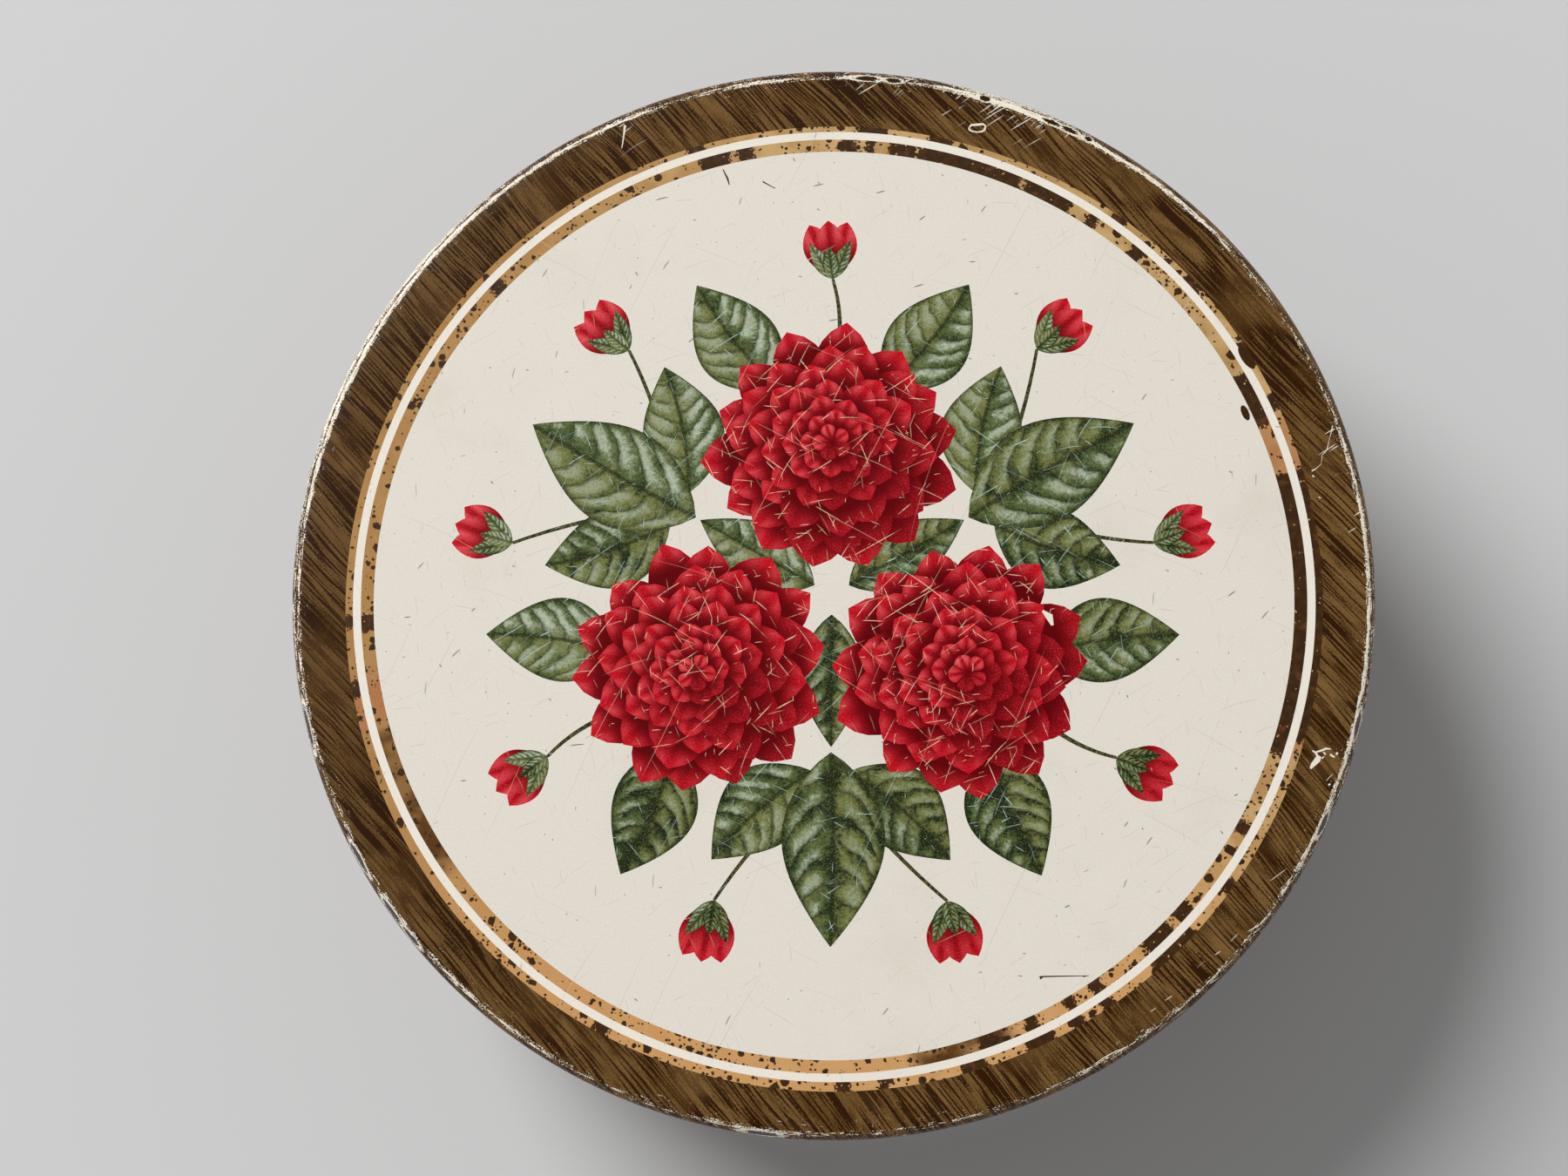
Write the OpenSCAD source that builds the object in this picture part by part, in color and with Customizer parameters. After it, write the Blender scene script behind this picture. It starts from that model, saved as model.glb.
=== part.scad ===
// Round sheet-metal box with a slip lid.
// Three pieces: a drawn lid, a wall rolled from a strip, and a base seamed round the wall's lower edge.
// The origin is the centre of the ring that the box stands on, and +Z points up.

/* [Sheet] */
// Thickness of the sheet that every piece is made of
sheet_t = 0.3; // [0.2:0.01:0.4]

/* [Overall] */
// Outer diameter of the lid, the widest part of the box
lid_d = 220; // [160:1:280]
// Height of the closed box
box_h = 78; // [50:1:140]

/* [Lid] */
// Height of the lid, from its top to the bottom of its curl
lid_h = 22; // [12:1:40]
// Outer radius of the corner between the lid's top and its skirt
lid_corner_r = 2; // [1:0.1:5]
// Outer radius of the curl rolled inwards round the lid's lower edge
lid_curl_r = 0.95; // [0.7:0.05:1.5]

/* [Wall] */
// Outer radius of the curl rolled inwards round the wall's top edge
wall_curl_r = 1; // [0.8:0.05:2]
// Width of the flat lock seam down the inside of the wall
lock_w = 5; // [3:0.5:10]
// Number of sheets that the lock seam adds behind the wall
lock_layers = 3; // [2:1:4]
// Distance of the lock seam's ends from the top curl and from the base
lock_end_gap = 1.5; // [0.5:0.5:5]
// Width of the line down the outside where the strip's ends meet
join_w = 0.5; // [0.2:0.1:1]
// Depth of that line
join_depth = 0.12; // [0.05:0.01:0.18]

/* [Base] */
// Height of the base's flat edge above the surface that the box stands on
base_sink = 3.4; // [2.5:0.1:8]
// Inner radius of the corner where the base turns down along the wall
base_corner_r = 1; // [0.4:0.1:1.5]
// Diameter of the base's raised middle
bead_d = 168; // [80:1:196]
// Step up from the base's flat edge to its raised middle
bead_h = 0.8; // [0.6:0.1:2]

/* [Base seam] */
// Height of the double seam that holds the base to the wall
seam_h = 3; // [2.5:0.1:4]
// Inner radius of the two bends at the foot of the seam
seam_bend_r = 0.3; // [0.1:0.05:0.4]

/* [Clearances] */
// Gap between the lid's curl and the wall
slip_gap = 0.3; // [0.15:0.05:0.6]
// Gap between the lid's underside and the wall's top curl
seat_gap = 0.3; // [0.1:0.05:0.6]
// Gap between neighbouring sheets in the base seam
layer_gap = 0.1; // [0.05:0.01:0.15]
// Gap between the end of each seam hook and the bend that it reaches into
hook_gap = 0.3; // [0.2:0.05:0.5]

/* [Hidden] */
$fn = 180;

// Turns of a sheet, seen along its run
LEFT = 1;
RIGHT = -1;
STOP = 0;

// Lid and wall radii, from the widest part inwards
lid_r = lid_d / 2;
wall_r = lid_r - 2 * lid_curl_r - slip_gap;
wall_top = box_h - sheet_t - seat_gap;

// Base seam: five sheets side by side, from the base's inner wall to its outer one
layer_pitch = sheet_t + layer_gap;
base_wall_r = wall_r - sheet_t - layer_pitch;
hook_bend_r = layer_gap + sheet_t / 2;
hook_bend_z = layer_pitch + sheet_t + hook_bend_r;
cover_bend_z = seam_h - sheet_t - hook_bend_r;
hook_run = cover_bend_z - hook_bend_z - hook_gap;
wall_hook_r = base_wall_r + 3 * layer_pitch;
seam_foot_z = sheet_t + seam_bend_r;

// Base: the step between its flat edge and its raised middle is two equal bends
bead_r = bead_d / 2;
bead_bend_r = (bead_h - sheet_t) / 2;
base_edge_run = base_wall_r - base_corner_r - bead_r - bead_h;

// Lock seam down the inside of the wall
lock_t = lock_layers * sheet_t;
lock_low = base_sink + sheet_t + lock_end_gap;
lock_h = wall_top - 2 * wall_curl_r - lock_end_gap - lock_low;

// A quarter ring of sheet, in the quadrant of +X and +Y
module quarter_ring(inner_r) {
    outer_r = inner_r + sheet_t;
    intersection() {
        difference() {
            circle(r = outer_r);
            circle(r = inner_r);
        }
        square(2 * outer_r);
    }
}

// A section through folded sheet, drawn from the origin along +X with the sheet on its left.
// Each step is a straight run, the turn that follows it and the inner radius of that turn.
module folded_sheet(steps, i = 0) {
    run = steps[i][0];
    turn = steps[i][1];
    bend_r = steps[i][2];
    if (run > 0) square([run, sheet_t]);
    if (turn == RIGHT) {
        translate([run, -bend_r]) {
            quarter_ring(bend_r);
            translate([bend_r, 0]) rotate(-90) folded_sheet(steps, i + 1);
        }
    }
    if (turn == LEFT) {
        translate([run, sheet_t + bend_r]) {
            rotate(-90) quarter_ring(bend_r);
            translate([bend_r + sheet_t, 0]) rotate(90) folded_sheet(steps, i + 1);
        }
    }
}

// Flat top, rounded corner, skirt, and a curl of three quarter turns
module lid() {
    corner_bend_r = lid_corner_r - sheet_t;
    curl_bend_r = lid_curl_r - sheet_t;
    skirt_run = lid_h - lid_corner_r - lid_curl_r;
    color([0.89, 0.87, 0.80])
        rotate_extrude()
            translate([0, box_h - sheet_t])
                folded_sheet([
                    [lid_r - lid_corner_r, RIGHT, corner_bend_r],
                    [skirt_run, RIGHT, curl_bend_r],
                    [0, RIGHT, curl_bend_r],
                    [0, RIGHT, curl_bend_r],
                    [0, STOP, 0],
                ]);
}

// The wall's section: its seam hook, the wall itself, and a curl of three quarter turns
module wall_ring() {
    curl_bend_r = wall_curl_r - sheet_t;
    rotate_extrude()
        translate([wall_hook_r, hook_bend_z + hook_run])
            rotate(-90)
                folded_sheet([
                    [hook_run, RIGHT, hook_bend_r],
                    [0, RIGHT, hook_bend_r],
                    [wall_top - wall_curl_r - hook_bend_z, LEFT, curl_bend_r],
                    [0, LEFT, curl_bend_r],
                    [0, LEFT, curl_bend_r],
                    [0, STOP, 0],
                ]);
}

// The folded ends of the strip, pressed flat against the inside of the wall and let into it by half a sheet
module lock_seam() {
    edge_r = (lock_t + sheet_t / 2) / 2;
    edge_x = lock_w / 2 - edge_r;
    translate([0, wall_r - sheet_t / 2 - edge_r, lock_low])
        linear_extrude(lock_h) {
            square([2 * edge_x, 2 * edge_r], center = true);
            for (side = [LEFT, RIGHT])
                translate([side * edge_x, 0]) circle(r = edge_r);
        }
}

// The shallow line down the outside of the wall, at the edge of the lock seam
module join_line() {
    translate([lock_w / 2 - join_w, wall_r - join_depth, lock_low])
        cube([join_w, lock_w, lock_h]);
}

module body_wall() {
    color([0.42, 0.29, 0.15])
        difference() {
            union() {
                wall_ring();
                lock_seam();
            }
            join_line();
        }
}

// Raised middle, flat edge, a wall inside the box's wall, and a fold round the wall's hook
module base() {
    color([0.72, 0.72, 0.73])
        rotate_extrude()
            translate([0, base_sink + bead_h])
                folded_sheet([
                    [bead_r, RIGHT, bead_bend_r],
                    [0, LEFT, bead_bend_r],
                    [base_edge_run, RIGHT, base_corner_r],
                    [base_sink - base_corner_r - seam_foot_z, LEFT, seam_bend_r],
                    [4 * layer_pitch - sheet_t - 2 * seam_bend_r, LEFT, seam_bend_r],
                    [cover_bend_z - seam_foot_z, LEFT, hook_bend_r],
                    [0, LEFT, hook_bend_r],
                    [hook_run, STOP, 0],
                ]);
}

lid();
body_wall();
base();
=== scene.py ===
"""The looks of a round printed box: a fine mesh for each of its three sheets, their finish and a studio.

Sizes are in millimetres unless a name says otherwise, and meshes are made in metres.
"""
import math
import random

import bpy
import numpy as np
from mathutils import Matrix, Vector
from mathutils.geometry import delaunay_2d_cdt


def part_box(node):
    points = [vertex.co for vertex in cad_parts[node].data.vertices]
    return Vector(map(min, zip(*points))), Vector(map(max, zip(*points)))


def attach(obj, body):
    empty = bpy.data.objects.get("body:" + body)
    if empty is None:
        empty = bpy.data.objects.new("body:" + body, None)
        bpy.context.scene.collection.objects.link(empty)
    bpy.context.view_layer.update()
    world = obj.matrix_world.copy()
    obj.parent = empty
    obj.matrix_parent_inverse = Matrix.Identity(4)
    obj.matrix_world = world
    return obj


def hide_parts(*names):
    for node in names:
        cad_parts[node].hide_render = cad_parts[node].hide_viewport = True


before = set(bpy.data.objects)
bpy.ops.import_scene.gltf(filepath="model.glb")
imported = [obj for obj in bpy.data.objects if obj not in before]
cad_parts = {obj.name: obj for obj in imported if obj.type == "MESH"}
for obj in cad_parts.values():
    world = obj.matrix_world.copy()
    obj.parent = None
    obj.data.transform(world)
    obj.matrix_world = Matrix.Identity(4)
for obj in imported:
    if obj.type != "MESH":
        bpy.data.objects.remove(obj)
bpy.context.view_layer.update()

MM = 0.001

# Outer sizes, from the frame
LID_LOW, LID_HIGH = (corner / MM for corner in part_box("lid"))
_, WALL_HIGH = (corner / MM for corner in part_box("body_wall"))
LID_R = LID_HIGH.x
TOP = LID_HIGH.z

# The sheet and its folds
SHEET = 0.3
LID_CORNER = 2.0
LID_CURL = 0.95
WALL_CURL = 1.0
SLIP_GAP = 0.3
LAYER_GAP = 0.1
HOOK_GAP = 0.3
SEAM_H = 3.0
SEAM_BEND = 0.3
BASE_SINK = 3.4
BASE_CORNER = 1.0
BEAD_R = 84.0
BEAD_H = 0.8
LOCK_W = 5.0
LOCK_LAYERS = 3
LOCK_END_GAP = 1.5
JOIN_W = 0.5
JOIN_DEPTH = 0.12
JOIN_EDGE = 0.05

# What follows from them: the wall, the five layers of the base seam and the lock seam
LAYER = SHEET + LAYER_GAP
WALL_R = LID_R - 2 * LID_CURL - SLIP_GAP
BASE_WALL_R = WALL_R - SHEET - LAYER
HOOK_BEND = LAYER_GAP + SHEET / 2
HOOK_BEND_Z = LAYER + SHEET + HOOK_BEND
COVER_BEND_Z = SEAM_H - SHEET - HOOK_BEND
HOOK_RUN = COVER_BEND_Z - HOOK_BEND_Z - HOOK_GAP
LOCK_LOW = BASE_SINK + SHEET + LOCK_END_GAP
LOCK_HIGH = WALL_HIGH.z - 2 * WALL_CURL - LOCK_END_GAP
JOIN_ANGLE = math.acos(LOCK_W / 2 / WALL_R)

# The printed rings on the lid's top, from the outside, how far the print's centre is off the lid's, and how
# far the border's inner edge is off the print's
FLAT_R = LID_R - LID_CORNER
WOOD_INNER_R = 99.0
OUTER_GOLD_INNER_R = 97.5
WHITE_INNER_R = 95.85
CREAM_R = 93.25
PRINT_SHIFT = (0.25, -1.1)
WOOD_SHIFT = (0.0, -0.35)

# Fineness of the meshes: steps round the axis and in a bend, and the longest straight step
TURN_STEPS = 480
BEND_STEPS = 6
LONGEST_RUN = 6.0
TURNS = [2 * math.pi * k / TURN_STEPS for k in range(TURN_STEPS)]
# The lid's top: pitch of its grid of points, and how near points are joined into one
GRID = 1.6
JOINED_WITHIN = 0.01

# Turns of a sheet along its run
LEFT, RIGHT, STOP = 1, -1, 0

rng = random.Random(7)


def srgb(red, green, blue):
    """A colour given as it looks on screen, 0 to 255, as the linear colour that a shader takes."""
    parts = [c / 255 for c in (red, green, blue)]
    return tuple(c / 12.92 if c <= 0.04045 else ((c + 0.055) / 1.055) ** 2.4 for c in parts) + (1.0,)


def operator(operation):
    """A method that joins a term and another by a math node."""
    def apply(self, other):
        return self.graph.math(operation, self, other)
    return apply


class Term:
    """A number in a material's node graph that can be used in arithmetic."""

    def __init__(self, graph, socket):
        self.graph = graph
        self.socket = socket

    __add__ = operator("ADD")
    __radd__ = __add__
    __sub__ = operator("SUBTRACT")
    __mul__ = operator("MULTIPLY")
    __truediv__ = operator("DIVIDE")
    __pow__ = operator("POWER")

    def __rsub__(self, other):
        return self.graph.math("SUBTRACT", other, self)

    def __abs__(self):
        return self.graph.math("ABSOLUTE", self)


class Nodes:
    """A node tree, with short calls for the nodes that go into it."""

    def __init__(self, tree):
        self.tree = tree

    def node(self, kind, inputs=(), **settings):
        """A new node with these settings, and these values or terms in its first inputs."""
        node = self.tree.nodes.new(kind)
        for name, value in settings.items():
            setattr(node, name, value)
        for socket, value in zip(node.inputs, inputs):
            self.feed(socket, value)
        return node

    def feed(self, socket, value):
        if isinstance(value, Term):
            self.tree.links.new(value.socket, socket)
        else:
            socket.default_value = value

    def made(self, node, output=0):
        return Term(self, node.outputs[output])

    def math(self, operation, *values):
        return self.made(self.node("ShaderNodeMath", values, operation=operation))

    def ramp(self, value, low, high, start=0.0, end=1.0):
        """A smooth step from start, where value is low, to end, where it is high."""
        values = (value, low, high, start, end)
        return self.made(self.node("ShaderNodeMapRange", values, interpolation_type="SMOOTHSTEP"))

    def most(self, *values):
        found = values[0]
        for value in values[1:]:
            found = self.math("MAXIMUM", found, value)
        return found

    def least(self, a, b):
        return self.math("MINIMUM", a, b)

    def length(self, x, y):
        return self.math("SQRT", x * x + y * y)

    def layers(self, colour, *coats):
        """A colour with others laid over it in turn, each of them given as its share and its colour."""
        for share, over in coats:
            node = self.node("ShaderNodeMix", [share], data_type="RGBA")
            self.feed(node.inputs[6], colour)
            self.feed(node.inputs[7], over)
            colour = self.made(node, 2)
        return colour

    def vector(self, *parts):
        return self.made(self.node("ShaderNodeCombineXYZ", parts))

    def split(self, vector):
        return [Term(self, socket) for socket in self.node("ShaderNodeSeparateXYZ", [vector]).outputs]

    def map(self, name):
        """The two numbers of a UV map."""
        return self.split(self.made(self.node("ShaderNodeUVMap", uv_map=name)))[:2]

    def field(self, name):
        """The three numbers of a mesh attribute."""
        return self.split(self.made(self.node("ShaderNodeAttribute", attribute_name=name), "Vector"))

    def noise(self, x, y, z=0.0, detail=2.0, roughness=0.5):
        node = self.node("ShaderNodeTexNoise", [self.vector(x, y, z)])
        for name, value in (("Scale", 1.0), ("Detail", detail), ("Roughness", roughness)):
            node.inputs[name].default_value = value
        return self.made(node)

    def cloud(self, x, y, size, z=0.0, detail=2.0, roughness=0.5):
        """Noise whose patches are about that size both ways."""
        return self.noise(x / size, y / size, z, detail, roughness)

    def cells(self, x, y):
        """A random mosaic with cells about 1 across.

        Gives the distances from the nearest cell's point, and that cell's three random numbers."""
        node = self.node("ShaderNodeTexVoronoi", [self.vector(x, y)], voronoi_dimensions="2D")
        node.inputs["Scale"].default_value = 1.0
        point_x, point_y, _ = self.split(self.made(node, "Position"))
        return (x - point_x, y - point_y), self.split(self.made(node, "Color"))

    def use(self, group, *values):
        """What a node group makes of these values."""
        return self.made(self.node("ShaderNodeGroup", values, node_tree=group.tree))

    def bump(self, height, depth_m):
        node = self.node("ShaderNodeBump")
        node.inputs["Distance"].default_value = depth_m
        self.feed(node.inputs["Height"], height)
        return self.made(node)


class Graph(Nodes):
    """A new material, made by its finish."""

    def __init__(self, name):
        self.material = bpy.data.materials.new(name)
        self.material.use_nodes = True
        super().__init__(self.material.node_tree)
        self.tree.nodes.clear()

    def finish(self, colour, roughness, metallic=0.0, normal=None, specular=0.2):
        shader = self.node("ShaderNodeBsdfPrincipled")
        self.feed(shader.inputs["Base Color"], colour)
        self.feed(shader.inputs["Roughness"], roughness)
        self.feed(shader.inputs["Metallic"], metallic)
        shader.inputs["Specular IOR Level"].default_value = specular
        if normal:
            self.feed(shader.inputs["Normal"], normal)
        self.node("ShaderNodeOutputMaterial", [self.made(shader)])
        return self.material


class Group(Nodes):
    """A node group for several materials: its maker takes the group and its inputs, and gives one number."""

    def __init__(self, maker, *inputs):
        super().__init__(bpy.data.node_groups.new(maker.__name__, "ShaderNodeTree"))
        for name in inputs:
            self.tree.interface.new_socket(name, in_out="INPUT", socket_type="NodeSocketFloat")
        self.tree.interface.new_socket("made", in_out="OUTPUT", socket_type="NodeSocketFloat")
        source = self.node("NodeGroupInput")
        made = maker(self, *[Term(self, socket) for socket in source.outputs[:len(inputs)]])
        self.node("NodeGroupOutput", [made])


def scratches(g, x, y, heading, length, cell, half_width, amount, lean=0.5):
    """Line scratches along about one heading, in degrees: up to 1 on a scratch and 0 off it.

    There is at most one to each cell of a random mosaic, whose cells are that long and wide."""
    turn = math.radians(heading)
    along = x * math.cos(turn) + y * math.sin(turn) + heading
    across = y * math.cos(turn) - x * math.sin(turn)
    (du, dv), (luck, reach, tilt) = g.cells(along / cell[0], across / cell[1])
    run = du * cell[0]
    off = dv * cell[1] + run * (tilt - 0.5) * lean + run * run * (reach - 0.5) * (0.4 / length)
    half_length = (reach * 0.75 + 0.25) * length * 0.5
    width = g.ramp(abs(run), half_length, half_length * 0.35) * half_width
    line = g.ramp(abs(off), width, width * 0.45)
    return line * g.math("LESS_THAN", luck, amount) * (tilt * 0.6 + 0.45)


def scratch_lot(g, x, y, amount, rows):
    """Several lots of scratches, a row each, with their share of the amount in place of an amount."""
    return g.most(*[
        scratches(g, x, y, heading, length, cell, half_width, amount * share, lean)
        for heading, length, cell, half_width, share, lean in rows
    ])


# Lots of scratches: heading, length, cell, half width, share and lean
HAIR_LOTS = [
    (66, 44.0, (46.0, 8.0), 0.09, 0.55, 0.15),
    (-24, 26.0, (28.0, 7.0), 0.08, 0.45, 0.25),
    (33, 13.0, (14.0, 5.0), 0.08, 0.40, 0.5),
    (-70, 6.0, (7.0, 4.0), 0.08, 0.40, 0.5),
]
DEEP_LOTS = [
    (36, 22.0, (23.0, 5.0), 0.10, 0.48, 0.25),
    (-29, 18.0, (19.0, 5.5), 0.09, 0.42, 0.25),
    (59, 9.0, (9.5, 3.0), 0.10, 0.42, 0.5),
    (-56, 8.0, (8.5, 3.2), 0.09, 0.42, 0.5),
    (8, 7.0, (7.5, 3.2), 0.09, 0.36, 0.5),
    (41, 6.0, (9.0, 5.0), 0.15, 0.26, 0.6),
    (-38, 4.5, (8.0, 5.0), 0.14, 0.22, 0.6),
]
SHORT_LOTS = [
    (101, 3.4, (3.8, 2.2), 0.08, 0.22, 0.8),
    (23, 2.4, (2.6, 1.8), 0.08, 0.2, 0.9),
]
FAINT_LOTS = [(20, 6.0, (9.0, 8.0), 0.10, 0.35, 1.2), (-52, 2.5, (6.0, 6.0), 0.10, 0.35, 1.2)]
NICK_LOTS = [(50, 2.8, (10.0, 10.0), 0.19, 0.34, 2.0), (-15, 1.2, (8.0, 8.0), 0.17, 0.26, 2.0)]


def varnish_hairs(g, x, y):
    """Fine hairlines in the varnish, long and short."""
    return scratch_lot(g, x, y, 1.0, HAIR_LOTS)


def deep_scratches(g, x, y, density):
    """Broken scratches through the ink, in crowds, from short nicks to long lines."""
    crowd = g.ramp(g.cloud(x, y, 15, 2.5), 0.38, 0.62, 0.3, 1.2) * density
    fine = g.ramp(g.cloud(x, y, 7, 8.5), 0.42, 0.6, 0.1, 1.3) * density
    broken = g.ramp(g.cloud(x, y, 0.7, 4.5, detail=1.0), 0.3, 0.5, 0.35, 1.0)
    return g.most(scratch_lot(g, x, y, crowd, DEEP_LOTS), scratch_lot(g, x, y, fine, SHORT_LOTS)) * broken


HAIRS = Group(varnish_hairs, "x", "y")
DEEP = Group(deep_scratches, "x", "y", "density")

WOOD_LIGHT = srgb(122, 92, 52)
WOOD_MID = srgb(82, 55, 19)
WOOD_DARK = srgb(40, 16, 1)
BASE_COAT = srgb(234, 228, 212)
STAINED_COAT = srgb(206, 176, 128)
CHIPPED_METAL = srgb(96, 88, 92)
UNDER_GOLD = srgb(56, 34, 13)
UNDER_GOLD_RED = srgb(118, 66, 46)
GOLD = srgb(204, 169, 114)
GOLD_DEEP = srgb(184, 145, 91)
# Painted shade and painted highlight for the gold: the first of the next two darkens it towards the left, the
# second lightens it to orange along the bottom
GOLD_PAINTED_SHADE = srgb(164, 118, 64)
GOLD_PAINTED_HIGHLIGHT = srgb(220, 163, 104)
TARNISH = srgb(92, 58, 22)
RED_GOLD = srgb(180, 114, 72)
WHITE = srgb(236, 229, 216)
WHITE_SHADED = srgb(206, 200, 190)
WHITE_NICKED = srgb(120, 110, 92)
CREAM = srgb(227, 221, 209)
CREAM_SHADED = srgb(190, 184, 168)
CREAM_NICKED = srgb(74, 66, 50)
RED_DEEP = srgb(94, 0, 6)
RED_MID = srgb(198, 14, 32)
RED_LIGHT = srgb(236, 98, 104)
RED_SCRATCH = srgb(240, 205, 170)
LEAF_DARK = srgb(28, 36, 8)
LEAF_MID = srgb(84, 99, 54)
LEAF_OLIVE = srgb(120, 122, 66)
LEAF_SHEEN = srgb(182, 192, 166)
LEAF_SCRATCH = srgb(180, 212, 204)
STEM_BROWN = srgb(92, 84, 52)
BARE = srgb(196, 196, 198)
BARE_DULL = srgb(140, 138, 136)
BARE_BRIGHT = srgb(228, 228, 230)

# Slant of the wood's grain on the lid and along the wall's strip, roughness of the varnish, depths of reliefs
LID_GRAIN = math.radians(48)
WALL_GRAIN = math.radians(6)
VARNISH = 0.26
COAT_DEPTH_M = 0.00003
INK_DEPTH_M = 0.00002
FAINT_DEPTH_M = 0.00001


def wood_colour(g, x, y, slant):
    """Printed wood grain: long dark lines along one slanting direction, in soft lighter and darker bands."""
    along = x * math.cos(slant) - y * math.sin(slant)
    across = x * math.sin(slant) + y * math.cos(slant)
    across = across + g.noise(along / 60, across / 40, 2.0) * 7.0
    lines = g.noise(along / 17, across / 0.54, 6.0, detail=1.0, roughness=0.4)
    strokes = g.noise(along / 6, across / 1.5, 16.0)
    bands = g.noise(along / 45, across / 5.0, 12.0)
    speckle = g.noise(along / 0.5, across / 0.28, 9.0, roughness=0.6)
    crisp = g.ramp(g.cloud(x, y, 16, 4.0), 0.32, 0.55, 0.4, 1.0)
    tone = (bands - 0.5) * 1.1 + (speckle - 0.5) * 0.9 + (strokes - 0.5) * 0.7
    dark = g.ramp(lines + (bands - 0.5) * 0.24 + (speckle - 0.5) * 0.2, 0.48, 0.54) * crisp
    broad = g.ramp(strokes + (speckle - 0.5) * 0.25, 0.50, 0.66) * (1.0 - crisp * 0.6)
    return g.layers(
        WOOD_LIGHT,
        (g.ramp(tone, -0.42, 0.42), WOOD_MID),
        (g.most(dark * 0.93, broad * 0.62), WOOD_DARK),
    )


# Dark chips in the lid's corner: angle in degrees, half length, and distance past the flat top's edge
CORNER_CHIPS = [
    (86.2, 2.7, 0.2), (83.2, 1.5, 0.2), (72.9, 1.1, 0.2), (65.2, 1.9, 0.3), (62.9, 1.7, 0.4),
    (60.7, 0.8, 0.5), (-14.5, 2.6, 1.2), (-25.8, 2.4, 1.2), (-97.0, 3.6, 1.7), (-140.0, 2.6, 1.5),
    (-143.3, 3.2, 1.5), (-150.0, 3.5, 1.4), (-165.0, 4.6, 1.6),
]
CHIP_HALF_WIDTH = 0.55
# How far the foot of the lid's skirt lies past the flat top's edge, along the sheet
CURL_DEPTH = LID_CORNER * (math.pi / 2 - 1) + TOP - LID_LOW.z - LID_CURL * 0.2


def from_chip(g, arc, depth):
    """How far a place is from the nearest chip in the corner, as a share of the chip's size there."""
    nearest = None
    for angle, half_length, at in CORNER_CHIPS:
        along = (arc - math.radians(angle) * LID_R) / half_length
        share = g.length(along, (depth - at) / CHIP_HALF_WIDTH)
        nearest = g.least(nearest, share) if nearest else share
    return nearest


def make_lid_wood():
    """The lid's wood border, worn through to its white base coat and bare metal along the corner."""
    g = Graph("printed_wood_lid")
    x, y = g.map("sheet")
    inner, outer, frayed = g.field("age")
    reach = g.length(x, y)
    sine = y / reach
    round_x = x / reach * LID_R
    round_y = sine * LID_R
    depth = reach - FLAT_R
    arc = g.math("ARCTAN2", y, x) * LID_R
    long_lines = scratches(g, x, y, 33, 9.0, (9.5, 1.2), 0.13, frayed * 0.6, 0.15)
    short_lines = scratches(g, x, y, 39, 4.0, (4.4, 0.9), 0.13, frayed * 0.7, 0.3)
    slanting = g.most(long_lines * g.ramp(depth, -8.0, -3.0), short_lines * g.ramp(depth, -3.6, -1.2))
    streaks = g.cloud(round_x, round_y, 2.4, depth / 0.26, detail=3.0)
    lines = g.cloud(round_x, round_y, 7, depth / 0.2, detail=1.0)
    specks = g.cloud(round_x, round_y, 0.32, depth / 0.3, roughness=0.6)
    fray = g.noise(arc / 0.5 + depth * 1.6, depth / 3.5, detail=3.0)
    inner_line = g.ramp(abs(depth - 0.5 + sine * 0.3), 1.0, 0.05) * inner
    outer_line = g.ramp(abs(depth - 1.8), 1.4, 0.3) * outer
    curl_line = g.ramp(abs(depth - CURL_DEPTH), 1.1, 0.1) * 0.42
    ragged = fray * frayed * g.ramp(depth, -2.4, 0.2) * 0.5
    uneven = (streaks - 0.5) * 1.2 + (specks - 0.5) * 1.3
    exposed = uneven + (lines - 0.5) * 0.7 + g.most(inner_line, outer_line, curl_line) + ragged
    chip = from_chip(g, arc, depth) + uneven
    worn = g.ramp(exposed, 0.41, 0.46) * g.ramp(depth, -2.6, -1.0)
    coat = g.most(worn, g.ramp(chip, 1.5, 1.35))
    metal = g.ramp(chip, 1.1, 0.95)
    stained = g.ramp(g.cloud(round_x, round_y, 1.6, depth / 0.3), 0.5, 0.68)
    colour = g.layers(
        wood_colour(g, x, y, LID_GRAIN),
        # painted shade: the wood border is darker towards the left
        (g.ramp(x / LID_R, -0.2, -0.9) * 0.26, WOOD_DARK),
        (g.use(HAIRS, x, y) * 0.22, WOOD_LIGHT),
        (slanting * g.ramp(depth, 9.0, 3.0), BASE_COAT),
        (coat, g.layers(BASE_COAT, (stained * 0.6, STAINED_COAT))),
        (metal, g.layers(CHIPPED_METAL, (g.ramp(sine, 0.0, 0.5), UNDER_GOLD))),
    )
    return g.finish(colour, coat * 0.2 + VARNISH, metal * 0.7, g.bump(1.0 - worn, COAT_DEPTH_M))


def make_wall_wood():
    """The wall's wood print, rubbed by the lid along its upper part."""
    g = Graph("printed_wood_wall")
    x, y = g.map("sheet")
    wear, rubbed, density = g.field("age")
    rub = g.ramp(g.noise(x / 0.45, y / 22, 3.0, detail=3.0, roughness=0.6), 0.56, 0.72) * rubbed
    deep = g.use(DEEP, x, y, density)
    streaks = g.noise(x / 1.6, y / 0.35, detail=3.0)
    specks = g.noise(x / 0.45, y / 0.4, 8.0, roughness=0.6)
    exposed = (streaks - 0.5) * 0.9 + (specks - 0.5) * 1.1 + wear
    coat = g.ramp(exposed, 0.41, 0.46)
    metal = g.ramp(exposed, 0.58, 0.64)
    colour = g.layers(
        wood_colour(g, x, y, WALL_GRAIN),
        (g.most(g.use(HAIRS, x, y) * 0.25, rub * 0.4), WOOD_LIGHT),
        (deep * 0.6, BASE_COAT),
        (coat, BASE_COAT),
        (metal, CHIPPED_METAL),
    )
    return g.finish(colour, deep * 0.2 + rub * 0.15 + VARNISH, metal * 0.7, g.bump(1.0 - coat, COAT_DEPTH_M))


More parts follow.
